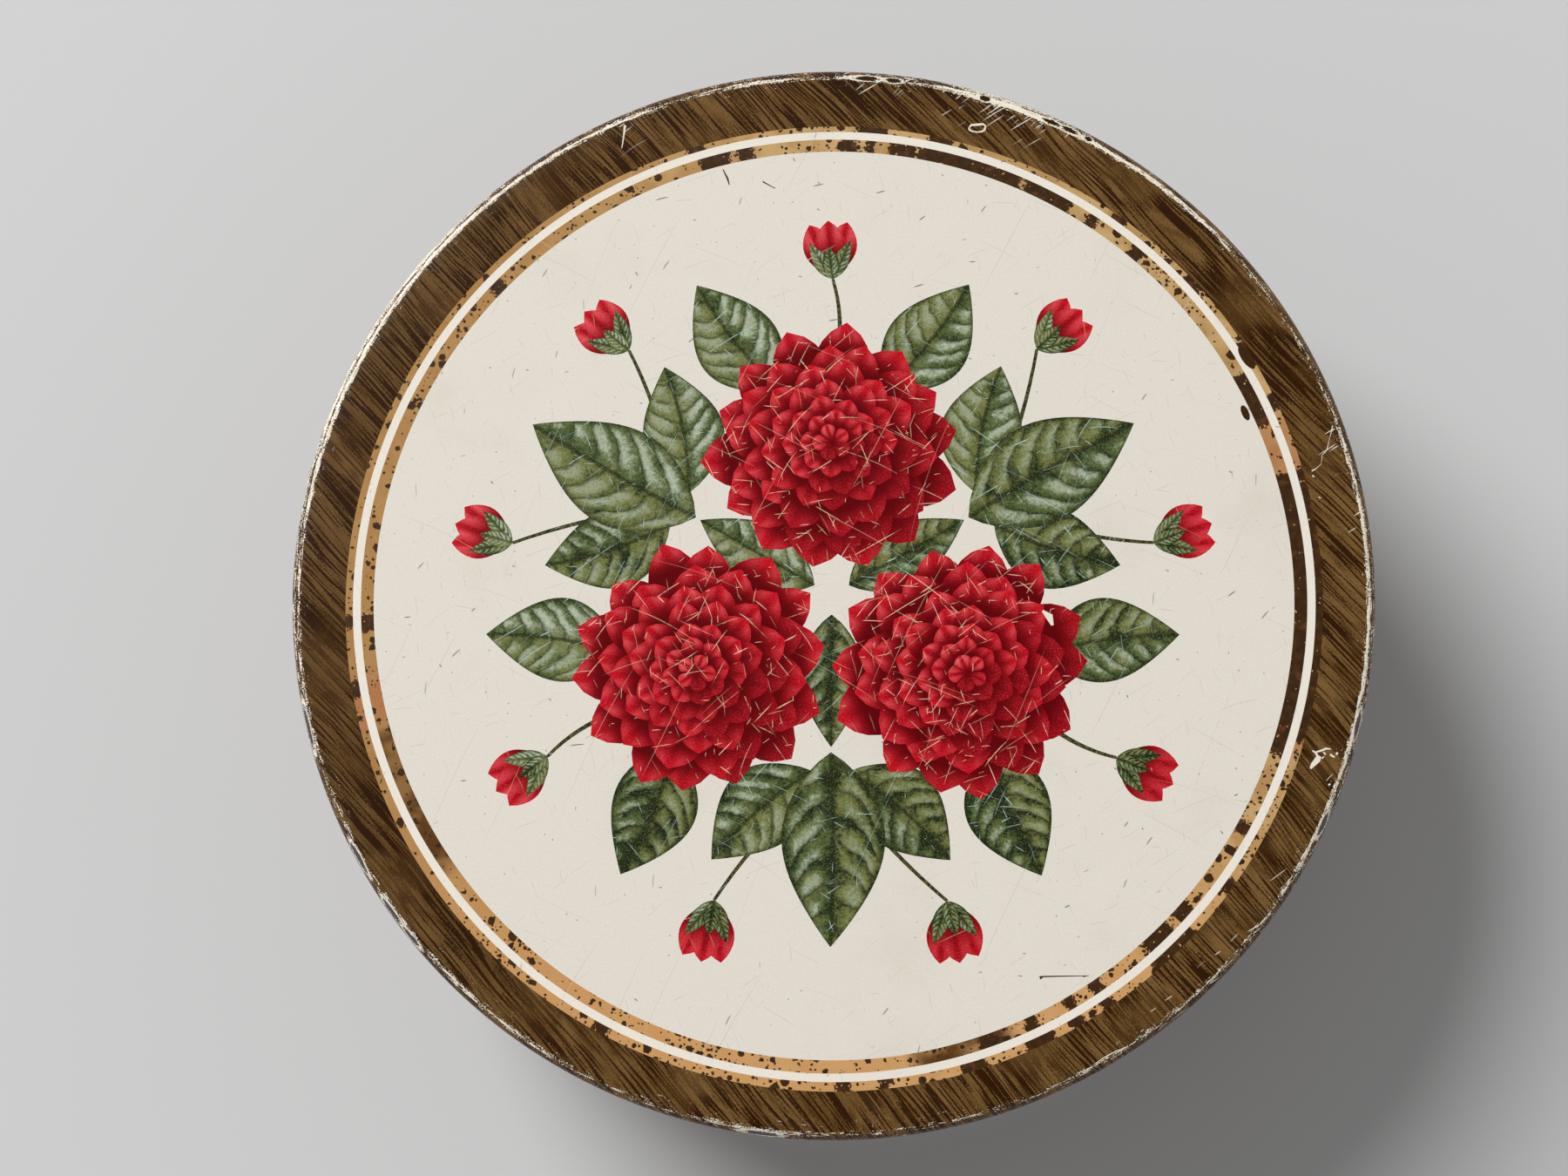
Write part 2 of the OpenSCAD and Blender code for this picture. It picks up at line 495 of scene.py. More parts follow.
def gold_dots(g, x, y, pitch, largest, share, ragged):
    """Rounded ragged dots where the gold has flaked off, one to a cell in that share of the cells."""
    (du, dv), (size, luck, _) = g.cells(x / pitch, y / pitch)
    radius = size * size * largest + 0.08
    dot = g.ramp(g.length(du, dv) * pitch + ragged * 0.9, radius, radius * 0.85)
    return dot * g.math("LESS_THAN", luck, share)


def make_gold():
    """Gold ink that has flaked off in dots, patches and long stretches, down to dark brown, with painted
    shade towards the left and a painted orange highlight along the bottom.
    """
    g = Graph("gold_line")
    x, y = g.map("sheet")
    crumbled, loss, tarnished = g.field("age")
    ragged = g.cloud(x, y, 0.7, 5.0, detail=3.0, roughness=0.6) - 0.5
    dots = gold_dots(g, x, y, 2.1, 1.15, crumbled * 0.4 + 0.36, ragged)
    small_dots = gold_dots(g, x + 40.0, y, 0.9, 0.4, crumbled * 0.5 + 0.14, ragged)
    patches = g.ramp(g.cloud(x, y, 2.4, 1.0) + ragged * 0.15, 0.665, 0.675)
    flakes = g.ramp(g.cloud(x, y, 1.0, 11.0), 0.67, 0.69)
    stretch = g.ramp(loss + ragged * 1.1, 0.47, 0.53) * (1.0 - flakes)
    gone = g.most(dots, small_dots, patches, stretch)
    patina = g.cloud(x, y, 6, 7.0, detail=3.0)
    red = g.ramp(g.cloud(x, y, 3, 3.0), 0.58, 0.68) * g.ramp(loss, 0.3, 0.6)
    brown = g.ramp(g.cloud(x, y, 1.6, 9.0, detail=3.0), 0.4, 0.7)
    colour = g.layers(
        GOLD,
        (g.ramp(patina, 0.36, 0.66), GOLD_DEEP),
        # painted shade: the gold is darker towards the left; painted highlight: lighter orange-gold along the
        # bottom
        (g.ramp(x / WHITE_INNER_R, 0.1, -0.8) * 0.75, GOLD_PAINTED_SHADE),
        (g.ramp(y / WHITE_INNER_R, -0.3, -0.9) * 0.7, GOLD_PAINTED_HIGHLIGHT),
        (g.most(tarnished, 0.0) * g.ramp(patina, 0.3, 0.6, 0.5, 1.0), TARNISH),
        (g.most(0.0 - tarnished, 0.0) * 0.6, RED_GOLD),
        (g.use(HAIRS, x, y) * 0.25, BASE_COAT),
        (gone, g.layers(UNDER_GOLD, (brown * 0.5, WOOD_MID), (red * 0.4, UNDER_GOLD_RED))),
    )
    shine = 1.0 - gone
    return g.finish(colour, 0.36, shine * 0.15, g.bump(shine, INK_DEPTH_M))


def make_plain(name, base, shaded, nicked):
    """A plain printed colour with hairlines, short nicks, small specks and faint smudges."""
    g = Graph(name)
    x, y = g.map("sheet")
    hair = g.use(HAIRS, x, y)
    smudge = g.ramp(g.cloud(x, y, 26, 1.0, detail=4.0, roughness=0.6), 0.5, 0.8)
    grain = g.ramp(g.cloud(x, y, 0.5, 4.0), 0.3, 0.7)
    marks = scratch_lot(g, x, y, 1.0, FAINT_LOTS)
    nicks = scratch_lot(g, x, y, 1.0, NICK_LOTS)
    pitch = 4.1
    (du, dv), (luck, size, _) = g.cells(x / pitch, y / pitch)
    specks = g.ramp(g.length(du, dv) * pitch, size * 0.2 + 0.05, size * 0.1) * g.math("LESS_THAN", luck, 0.3)
    colour = g.layers(
        base,
        (smudge * 0.2 + grain * 0.14, shaded),
        (g.most(hair * 0.6, marks * 0.7), shaded),
        (g.most(nicks * 0.85, specks * 0.5), nicked),
    )
    return g.finish(colour, 0.28, 0.0, g.bump(1.0 - hair * 0.3 - nicks, INK_DEPTH_M))


# Petals and leaves: where each is widest, and how round it is
PETAL_SHAPE = (1.75, 0.72)
BUD_PETAL_SHAPE = (1.2, 0.8)
LEAF_SHAPE = (0.86, 0.95)


def from_edge(g, s, v, peak, round_):
    """How far a place on a motif is from its axis, from 0 to 1 at the motif's edge."""
    half_width = g.math("SINE", g.least(g.most(s, 0.0), 1.0) ** peak * math.pi) ** round_
    return abs(v) / (half_width + 0.001)


def finish_motif(g, x, y, colour, mottle, light_grain, dark_grain, deep, hair_share, deep_share, scratch):
    """Gives a motif the grain of its print and the scratches in it. A grain is a strength and a colour."""
    grain = g.cloud(x, y, 0.32, 6.0, detail=1.0)
    colour = g.layers(
        colour,
        (g.ramp(grain, 0.5, 0.78) * light_grain[0], light_grain[1]),
        (g.ramp(grain, 0.5, 0.24) * dark_grain[0], dark_grain[1]),
        (g.use(HAIRS, x, y) * hair_share, scratch),
        (deep * deep_share, scratch),
    )
    return g.finish(colour, deep * 0.3 + VARNISH, 0.0, g.bump(mottle, FAINT_DEPTH_M))


def make_petal():
    """Red petals, dark at the foot and along the crease, lighter on both lobes and along the rim."""
    g = Graph("red_petals")
    x, y = g.map("sheet")
    s, v = g.map("motif")
    tone, hidden, seed = g.field("paint")
    _, _, density = g.field("age")
    edge = from_edge(g, s, v, *PETAL_SHAPE)
    shown = (s - hidden) / (1.0 - hidden)
    streak = g.noise(v * 5.0 + seed * 50.0, s * 1.2, seed * 20.0, detail=3.0)
    mottle = g.cloud(x, y, 0.7, 3.0, detail=3.0, roughness=0.6)
    lift = g.ramp(shown, -0.15, 0.8) * (streak * 0.7 + mottle * 0.5 + 0.35)
    crease = g.ramp(abs(v), 0.26, 0.0) * g.ramp(s, 1.0, 0.75)
    lobes = g.ramp(abs(v), 0.08, 0.45) * g.ramp(edge, 1.0, 0.55) * g.ramp(shown, 0.15, 0.8)
    rim = g.ramp(edge, 0.84, 0.99) * g.ramp(shown, 0.3, 0.9)
    colour = g.layers(
        RED_DEEP,
        (lift, RED_MID),
        (lobes * tone * (streak * 0.8 + mottle * 0.6), RED_LIGHT),
        (crease * 0.55, RED_DEEP),
        (rim * tone * 0.55, RED_LIGHT),
        (g.ramp(tone, 0.45, 0.1) * 0.55, RED_DEEP),
    )
    deep = g.use(DEEP, x, y, density)
    grains = (lift * 0.3, RED_LIGHT), (0.4, RED_DEEP)
    return finish_motif(g, x, y, colour, mottle, *grains, deep, 0.4, 0.95, RED_SCRATCH)


def make_leaf():
    """Green leaves, with a dark midrib and edge, and light swellings between the side veins."""
    g = Graph("green_leaves")
    x, y = g.map("sheet")
    s, v = g.map("motif")
    tone, bend, seed = g.field("paint")
    _, _, density = g.field("age")
    v = v - bend * 4.0 * s * (1.0 - s)
    edge = from_edge(g, s, v, *LEAF_SHAPE)
    side = g.math("GREATER_THAN", v, 0.0)
    wobble = g.noise(s * 6.0 + seed * 30.0, v * 3.0) - 0.5
    phase = (s - abs(v) * abs(v) * 0.28) * 7.0 + side * 0.45 + seed + wobble * 0.7
    saw = g.math("FRACT", phase)
    crease = g.ramp(g.least(saw, 1.0 - saw), 0.16, 0.02)
    swell = g.ramp(saw, 0.1, 0.75) * g.ramp(edge, 1.0, 0.7) * g.ramp(abs(v), 0.05, 0.35)
    midrib = g.ramp(abs(v), 0.07, 0.02)
    mottle = g.cloud(x, y, 0.8, 7.0, detail=3.0, roughness=0.6)
    patch = g.cloud(x, y, 4.5, seed * 9.0)
    light = swell * 0.5 + tone * 0.35 + (mottle - 0.5) * 0.9 + (patch - 0.5) * 0.9
    warm = g.ramp(patch + side * 0.25, 0.45, 0.8)
    colour = g.layers(
        LEAF_MID,
        (warm * 0.8, LEAF_OLIVE),
        (g.ramp(light, 0.38, -0.10), LEAF_DARK),
        (g.ramp(light, 0.30, 0.90) * (1.0 - warm * 0.5), LEAF_SHEEN),
        (crease * 0.55, LEAF_DARK),
        (midrib * 0.75, LEAF_DARK),
        (g.ramp(edge, 0.86, 1.0) * 0.7, LEAF_DARK),
    )
    deep = g.use(DEEP, x, y, density * 0.8)
    grains = (0.2, LEAF_SHEEN), (0.5, LEAF_DARK)
    return finish_motif(g, x, y, colour, mottle, *grains, deep, 0.35, 0.8, LEAF_SCRATCH)


def make_stem():
    """Brown-green stems."""
    g = Graph("stems")
    x, y = g.map("sheet")
    _, _, density = g.field("age")
    colour = g.layers(
        LEAF_DARK,
        (g.ramp(g.cloud(x, y, 0.7), 0.35, 0.65), STEM_BROWN),
        (g.use(DEEP, x, y, density) * 0.8, LEAF_SCRATCH),
    )
    return g.finish(colour, 0.36)


def make_bare():
    """Bare rolled metal: fine marks along the rolling, faint dull patches and handling scratches."""
    g = Graph("bare_metal")
    x, y = g.map("sheet")
    rolled = g.noise(x / 0.3, y / 24.0, detail=3.0, roughness=0.6)
    dull = g.cloud(x, y, 60, 3.0)
    stain = g.cloud(x, y, 7, 5.0, detail=4.0, roughness=0.6)
    hair = g.most(g.use(HAIRS, x, y), scratches(g, x, y, 80, 9.0, (10.0, 2.6), 0.12, 0.4))
    colour = g.layers(
        BARE,
        (g.ramp(dull, 0.38, 0.72) * 0.2 + g.ramp(stain, 0.56, 0.8) * 0.35, BARE_DULL),
        (g.ramp(rolled, 0.5, 0.75) * 0.4, BARE_BRIGHT),
        (hair * 0.6, BARE_BRIGHT),
    )
    rough = 0.38 + (dull - 0.5) * 0.08 + (rolled - 0.5) * 0.2
    return g.finish(colour, rough, 1.0, g.bump(rolled * 0.5 - hair * 0.5, FAINT_DEPTH_M))


MATERIALS = {
    "wood": make_lid_wood(),
    "gold": make_gold(),
    "white": make_plain("white_line", WHITE, WHITE_SHADED, WHITE_NICKED),
    "cream": make_plain("cream_field", CREAM, CREAM_SHADED, CREAM_NICKED),
    "coat": make_plain("base_coat", BASE_COAT, STAINED_COAT, CHIPPED_METAL),
    "dark": make_plain("dark_chips", UNDER_GOLD, WOOD_MID, WOOD_DARK),
    "petal": make_petal(),
    "leaf": make_leaf(),
    "stem": make_stem(),
    "bare": make_bare(),
    "wall": make_wall_wood(),
}
KINDS = list(MATERIALS)


def half_width_at(s, peak, round_):
    """The half width of a petal or leaf at that share of its length, as a share of its largest."""
    return max(math.sin(math.pi * min(max(s, 0.0), 1.0) ** peak), 0.0) ** round_


def polar(radius, angle):
    return (radius * math.cos(angle), radius * math.sin(angle))


def disc(radius, centre=(0.0, 0.0), angles=TURNS):
    """Points round a circle."""
    return [(centre[0] + radius * math.cos(a), centre[1] + radius * math.sin(a)) for a in angles]


def placed(origin, angle, along, across):
    """The place so far along and across a direction from an origin."""
    cosine, sine = math.cos(angle), math.sin(angle)
    return (origin[0] + along * cosine - across * sine, origin[1] + along * sine + across * cosine)


class Print:
    """The lid's printed areas, each an outline that covers those before it."""

    def __init__(self):
        self.outlines = []
        self.kinds = []
        self.frames = []
        self.paints = []

    def area(self, outline, kind, origin=(0, 0), angle=0.0, length=1.0, half_width=1.0, paint=(0, 0, 0)):
        self.outlines.append(outline)
        self.kinds.append(kind)
        self.frames.append((origin, angle, length, half_width))
        self.paints.append(paint)

    def blade(self, kind, origin, angle, length, half_width, shape, paint, bend=0.0, steps=12):
        """A petal or leaf along an axis, as wide at each place as its shape says."""
        stations = [k / steps for k in range(1, steps)]
        one = [(s, bend * 4 * s * (1 - s) - half_width_at(s, *shape)) for s in stations]
        two = [(s, bend * 4 * s * (1 - s) + half_width_at(s, *shape)) for s in reversed(stations)]
        round_it = [(0.0, 0.0)] + one + [(1.0, 0.0)] + two
        outline = [placed(origin, angle, s * length, v * half_width) for s, v in round_it]
        self.area(outline, kind, origin, angle, length, half_width, paint)

    def stroke(self, kind, spots):
        """A line through spots, each of them a place and the line's width there."""
        left, right = [], []
        last = len(spots) - 1
        for k, (x, y, width) in enumerate(spots):
            before = spots[max(k - 1, 0)]
            after = spots[min(k + 1, last)]
            dx, dy = after[0] - before[0], after[1] - before[1]
            half = width / 2 / math.hypot(dx, dy)
            left.append((x - dy * half, y + dx * half))
            right.append((x + dy * half, y - dx * half))
        self.area(right + left[::-1], kind)

    def stem(self, start, bow, end, steps=10):
        """A stem that bows out towards a point, tapering to its end."""
        spots = []
        for k in range(steps + 1):
            t = k / steps
            shares = ((1 - t) ** 2, 2 * t * (1 - t), t * t)
            x, y = (sum(s * p[axis] for s, p in zip(shares, (start, bow, end))) for axis in (0, 1))
            spots.append((x, y, STEM_WIDTH * (1 - STEM_TAPER * k / steps)))
        self.stroke("stem", spots)

    def ellipse(self, kind, centre, half_length, half_width, angle, steps=16):
        outline = []
        for k in range(steps):
            x, y = polar(1.0, 2 * math.pi * k / steps)
            outline.append(placed(centre, angle, x * half_length, y * half_width))
        self.area(outline, kind)


# The light in the picture comes from this angle, and motifs that face it are lighter
LIGHT_ANGLE = math.radians(130)
# Rings of petals in a blossom, from the outside: how many, how far their tips reach and their half width
WHORLS = [
    (14, 26.0, 5.8), (14, 22.2, 5.1), (13, 18.2, 4.4), (12, 14.2, 3.7),
    (10, 10.4, 3.0), (8, 7.0, 2.3), (5, 4.0, 1.6),
]
# A bud: its petals, then the angles and lengths of the narrow leaves that cup it, and its stem
BUD_LENGTH, BUD_HALF_WIDTH = 12.5, 3.3
BUD_PETALS = (-0.32, 0.32, 0.0)
BUD_LEAVES = ((-0.5, 9.0), (0.5, 9.0), (0.05, 7.0))
BUD_LEAF_HALF_WIDTH = 1.7
STEM_BOW = 3.0
STEM_WIDTH = 1.1
STEM_TAPER = 0.4
# How far a blossom's middle is from the print's centre, and how far its inner rings are pushed outwards
BLOSSOM_AT = 30
BLOSSOM_TILT = 2.0
# The bud past a blossom and the pair between two: distance of the foot, its angle off the line from the
# centre, the bud's own angle off it, and distance of the stem's start
TOP_BUD = (66, 0.0, 0.08, 46)
SIDE_BUD = (66, 0.36, 0.20, 36)
# Leaves in pairs beside a blossom's line and beside the line between two, and single ones along the latter:
# distance of the foot, its angle off the line, the leaf's own angle off it, length, half width and bend
BLOSSOM_LEAF = (44, 0.25, 0.66, 28, 8.6, 0.12)
BETWEEN_LEAF = (36, 0.10, 0.85, 27, 8.4, 0.15)
MIDDLE_LEAVES = [(32, 0.0, 0.0, 39, 10.4, 0.05), (4, 0.0, 0.0, 27, 6.5, 0.0)]


def leaf(art, origin, angle, length, half_width, bend=0.0):
    tone = 0.5 + 0.4 * math.cos(angle - LIGHT_ANGLE) + rng.uniform(-0.2, 0.2)
    paint = (tone, bend, rng.random())
    art.blade("leaf", origin, angle, length, half_width, LEAF_SHAPE, paint, bend, steps=20)


def leaf_by(art, line, side, foot, off, lean, length, half_width, bend):
    """A leaf beside a line from the print's centre, on one of its sides."""
    leaf(art, polar(foot, line + side * off), line + side * lean, length, half_width, side * bend)


def blossom(art, centre, turn, tilt):
    """A full flower of pointed petals in rings, the inner rings over the outer ones."""
    largest = WHORLS[0][1]
    for ring, (count, reach, half_width) in enumerate(WHORLS):
        inner = WHORLS[ring + 1][1] if ring + 1 < len(WHORLS) else 0.0
        shift = 1 - reach / largest
        origin = (centre[0] + tilt[0] * shift, centre[1] + tilt[1] * shift)
        order = list(range(0, count, 2)) + list(range(1, count, 2))
        for k in order:
            angle = turn + 2 * math.pi * (k + 0.5 * (ring % 2)) / count + rng.uniform(-0.07, 0.07)
            length = reach * rng.uniform(0.94, 1.04)
            width = half_width * rng.uniform(0.9, 1.1)
            tone = 0.52 + 0.42 * math.cos(angle - LIGHT_ANGLE) + rng.uniform(-0.2, 0.2)
            paint = (tone, inner / reach * 0.93, rng.random())
            art.blade("petal", origin, angle, length, width, PETAL_SHAPE, paint)


def bud(art, foot, tip_angle, stem_from):
    """A bud on a stem: red petals in a cup of narrow green leaves."""
    middle_x = (foot[0] + stem_from[0]) / 2 + STEM_BOW * math.sin(tip_angle)
    middle_y = (foot[1] + stem_from[1]) / 2 - STEM_BOW * math.cos(tip_angle)
    art.stem(stem_from, (middle_x, middle_y), foot)
    for spread in BUD_PETALS:
        paint = (0.6 + 0.3 * math.cos(tip_angle - LIGHT_ANGLE), 0.35, rng.random())
        art.blade("petal", foot, tip_angle + spread, BUD_LENGTH, BUD_HALF_WIDTH, BUD_PETAL_SHAPE, paint)
    for spread, length in BUD_LEAVES:
        leaf(art, foot, tip_angle + spread, length, BUD_LEAF_HALF_WIDTH)


def bud_by(art, line, side, foot, off, lean, stem_foot):
    """A bud beside a line from the print's centre, on one of its sides."""
    bud(art, polar(foot, line + side * off), line + side * lean, polar(stem_foot, line))


# Single marks in the print: places that each runs through, and its width there
COAT_MARKS = [
    [(95.7, -35.1, 0.4), (96.3, -34.3, 0.9), (97.2, -33.3, 1.2), (97.6, -32.6, 0.7)],
    [(96.2, -31.5, 0.25), (96.8, -31.9, 0.4), (97.3, -32.8, 0.5)],
    [(96.9, -31.8, 0.3), (98.0, -31.5, 0.4), (98.9, -31.1, 0.4), (99.9, -31.2, 0.2)],
    [(98.4, -31.8, 0.3), (98.8, -32.3, 0.3)],
    [(99.7, -32.2, 0.3), (100.1, -32.6, 0.4), (100.6, -32.8, 0.3)],
    [(100.9, -32.3, 0.45), (101.2, -31.9, 0.4)],
    [(98.0, -33.1, 0.3), (98.5, -32.7, 0.15)],
    [(99.2, -38.4, 0.35), (99.6, -38.2, 0.3)],
    [(102.0, 34.2, 0.25), (100.2, 33.2, 0.08)],
    [(101.7, 34.9, 0.2), (101.5, 33.9, 0.15), (101.0, 32.0, 0.06), (100.4, 29.7, 0.16)],
    [(100.3, 29.6, 0.12), (99.5, 28.8, 0.1), (99.2, 26.9, 0.07)],
    [(99.2, 26.9, 0.07), (98.2, 26.0, 0.14), (97.3, 25.5, 0.3)],
    [(97.4, 24.6, 0.3), (97.8, 24.2, 0.15)],
    [(98.6, 20.1, 0.25), (99.0, 19.9, 0.15)],
    [(28.1, 98.2, 0.2), (28.6, 98.8, 0.45), (29.8, 98.9, 0.5), (31.1, 99.0, 0.45), (31.6, 98.6, 0.3)],
    [(31.6, 98.6, 0.3), (31.4, 97.8, 0.45), (30.8, 97.4, 0.35), (29.8, 97.3, 0.25), (28.7, 97.5, 0.3)],
    [(28.7, 97.5, 0.3), (28.2, 97.9, 0.4), (28.1, 98.2, 0.2)],
    [(42.6, -3.2, 0.4), (44.0, -4.4, 1.5), (44.6, -6.2, 0.5)],
    [(-43.4, 99.2, 0.5), (-43.6, 97.0, 0.3), (-44.0, 94.2, 0.15)],
]
DARK_MARKS = [
    [(41.5, -76.9, 0.7), (42.2, -76.6, 0.3), (51.2, -76.4, 0.15)],
    [(-22.9, 89.6, 0.2), (-21.9, 87.6, 0.4), (-21.5, 86.2, 0.2)],
    [(-14.6, 86.9, 0.3), (-12.0, 85.4, 0.15)],
]
# Dark chips beside and across the gold lines: place, half length, half width and the chip's angle in degrees
DARK_CHIPS = [((84.1, 37.6), 1.7, 0.75, 112), ((84.6, 49.2), 2.8, 1.1, 122)]


def add_marks(art):
    """Chips through the ink in the border and on a petal, and dark scratches on the cream."""
    for kind, marks in (("coat", COAT_MARKS), ("dark", DARK_MARKS)):
        for spots in marks:
            art.stroke(kind, spots)
    for place, half_length, half_width, angle in DARK_CHIPS:
        art.ellipse("dark", place, half_length, half_width, math.radians(angle))


def design():
    """Three red blossoms in a trefoil, with leaves and buds fanned out between and behind them.

    Everything but the wood border's outer edge is about the print's own centre."""
    art = Print()
    art.area(disc(FLAT_R), "wood")
    art.area(disc(WOOD_INNER_R, WOOD_SHIFT), "gold")
    art.area(disc(OUTER_GOLD_INNER_R), "white")
    art.area(disc(WHITE_INNER_R), "gold")
    art.area(disc(CREAM_R), "cream")
    turns = [math.radians(90 + 120 * k) for k in range(3)]
    for turn in turns:
        between = turn + math.pi / 3
        for side in (-1, 1):
            bud_by(art, between, side, *SIDE_BUD)
        bud_by(art, turn, 1, *TOP_BUD)
        for side in (-1, 1):
            leaf_by(art, turn, side, *BLOSSOM_LEAF)
            leaf_by(art, between, side, *BETWEEN_LEAF)
        for row in MIDDLE_LEAVES:
            leaf_by(art, between, 1, *row)
    for turn in turns:
        blossom(art, polar(BLOSSOM_AT, turn), turn + rng.uniform(0, 0.4), polar(BLOSSOM_TILT, turn))
    add_marks(art)
    for number, outline in enumerate(art.outlines):
        if number > 0:
            art.outlines[number] = [(x + PRINT_SHIFT[0], y + PRINT_SHIFT[1]) for x, y in outline]
    return art


# The lid's top: its dents, as place, radius and depth, its slow waves, and the run in which both fade out
DENTS = [(75.5, 15.3, 3.0, 0.16), (52.0, -58.0, 6.0, 0.10), (-60.0, 40.0, 9.0, 0.10), (20.0, 78.0, 5.0, 0.08)]
WAVE_DEPTH = 0.12
FADE_RUN = 12


def top_sink(x, y):
    """How far the lid's top lies under its flat plane."""
    fade = np.clip((FLAT_R - np.hypot(x, y)) / FADE_RUN, 0, 1) ** 2
    waves = 0.5 + 0.25 * np.sin(x / 23 + 1.1) * np.cos(y / 31) + 0.25 * np.sin((x + y) / 37 + 0.4)
    sunk = WAVE_DEPTH * fade * waves
    for dent_x, dent_y, size, depth in DENTS:
        sunk += fade * depth * np.exp(-((x - dent_x) ** 2 + (y - dent_y) ** 2) / (0.5 * size) ** 2)
    return sunk


def away_from(angle, centre):
    """How many degrees angles lie past a centre that is given in degrees, from -180 to 180."""
    return (np.degrees(angle) - centre + 180) % 360 - 180


def bumps(angle, table):
    """A sum of smooth bumps round the circle, each given by its angle and width in degrees and its height."""
    total = np.zeros_like(angle)
    for centre, width, height in table:
        total += height * np.exp(-((away_from(angle, centre) / width) ** 4))
    return total


def stretches(angle, table):
    """1 within the stretches of the circle that the table gives in degrees, 0 outside, with steep ends."""
    steep = 2.0
    inside = np.zeros_like(angle)
    for first, last in table:
        away = abs(away_from(angle, (first + last) / 2))
        inside = np.maximum(inside, np.clip(((last - first) / 2 - away) / steep + 0.5, 0, 1))
    return inside


# Wear of the corner's inner and outer lines all round the lid, and the bumps on it
INNER_WEAR = 0.30
INNER_LINE = [
    (148, 26, 0.38), (118, 10, 0.18), (98, 4, 0.24), (86, 4, 0.16), (68, 9, 0.34), (52, 10, 0.38),
    (0, 17, 0.31), (-24, 10, 0.22), (-55, 12, 0.10), (-98, 6, 0.18), (-128, 10, 0.14), (214, 16, 0.08),
    (182, 14, 0.05),
]
OUTER_WEAR = 0.12
OUTER_LINE = [(150, 22, 0.46), (182, 12, 0.2), (98, 5, 0.12), (70, 12, 0.12), (-12, 16, 0.20)]
# Bumps round the lid: how frayed the border is, and how crumbled the gold is
FRAYED = [(70, 7, 1.0), (84, 5, 0.4), (114, 3, 0.3), (12, 8, 0.15), (-35, 20, 0.1)]
CRUMBLED = [
    (191, 6, 0.6), (152, 5, 0.5), (142, 4, 0.4), (257, 9, 0.8), (303, 14, 0.8), (45, 8, 0.6), (333, 9, 0.6),
    (227, 4, 0.8), (92, 3, 0.5), (242, 5, 0.5), (118, 14, 0.25),
]
# Stretches where the gold lines are lost, where the inner one is tarnished, and where both have reddened
INNER_LOSS = [
    (136, 138), (103, 107), (100, 102), (87, 89), (84.7, 86), (79.6, 83), (66, 79.4), (58.8, 65.3),
    (55, 56.4), (48, 49.7), (182.4, 184.6), (-60.6, -59.2), (-65.8, -64.3), (21.6, 28.8), (-20, 15.3),
    (-30.6, -29), (-43.5, -41), (-48.7, -44.6), (-57, -55.3), (-71.9, -69),
]
OUTER_LOSS = [
    (105.7, 108), (83.4, 87), (75.3, 78.4), (51.9, 54), (40, 42.5), (28.8, 32.2), (22.8, 25), (-17.5, 15.3),
    (-37.5, -35.6), (-49.5, -43), (-74.7, -71.6), (-118.7, -116.5), (190.3, 192.5), (182.5, 184),
    (-57, -55.5), (-60.8, -59.3), (-66.8, -63.2), (-84.4, -83.2), (-89.4, -87.6),
]
TARNISHED = [(196, 216), (280, 292)]
REDDENED = [(14, 22), (190, 197), (-19, -14)]
# How far a ring's ageing goes past its edges, the radius that scratches crowd within, their density past it
RING_MARGIN = 2
SCRATCHED_R = 62
STRAY_SCRATCHES = 0.06


def ageing(x, y, reach):
    """Three numbers at each point of the lid's printed face.

    In the border they are the wear of the corner's two lines and how frayed it is. On the gold they are how
    crumbled, lost and tarnished it is, below 0 where it has reddened. Within the gold lines the third is the
    density of scratches."""
    angle = np.arctan2(y, x)
    x = x - PRINT_SHIFT[0]
    y = y - PRINT_SHIFT[1]
    from_print = np.hypot(x, y)
    print_angle = np.arctan2(y, x)
    in_border = from_print > WOOD_INNER_R + RING_MARGIN
    on_inner = from_print < (WHITE_INNER_R + OUTER_GOLD_INNER_R) / 2
    loss = np.where(on_inner, stretches(print_angle, INNER_LOSS), stretches(print_angle, OUTER_LOSS))
    tarnish = np.where(on_inner, stretches(print_angle, TARNISHED), 0.0) - stretches(print_angle, REDDENED)
    density = STRAY_SCRATCHES + (1 - STRAY_SCRATCHES) * np.exp(-((reach / SCRATCHED_R) ** 6))
    third = np.where(from_print > CREAM_R - RING_MARGIN, tarnish, density)
    return np.stack([
        np.where(in_border, INNER_WEAR + bumps(angle, INNER_LINE), bumps(print_angle, CRUMBLED)),
        np.where(in_border, OUTER_WEAR + bumps(angle, OUTER_LINE), loss),
        np.where(in_border, bumps(angle, FRAYED), third),
    ], 1)


WALL_SCRATCHES = 0.04


def wall_ageing(x, y, z):
    """Wear of the wall's edges, rubbing by the lid and density of scratches at each point of the wall."""
    wear = 0.5 * np.exp(-(((z - WALL_HIGH.z) / 1.2) ** 2)) + 0.45 * np.exp(-(((z - SEAM_H) / 1.5) ** 2))
    rubbed = 0.5 + 0.5 * np.tanh((z - LID_LOW.z - 3) / 4)
    return np.stack([wear, rubbed, np.full_like(z, WALL_SCRATCHES)], 1)


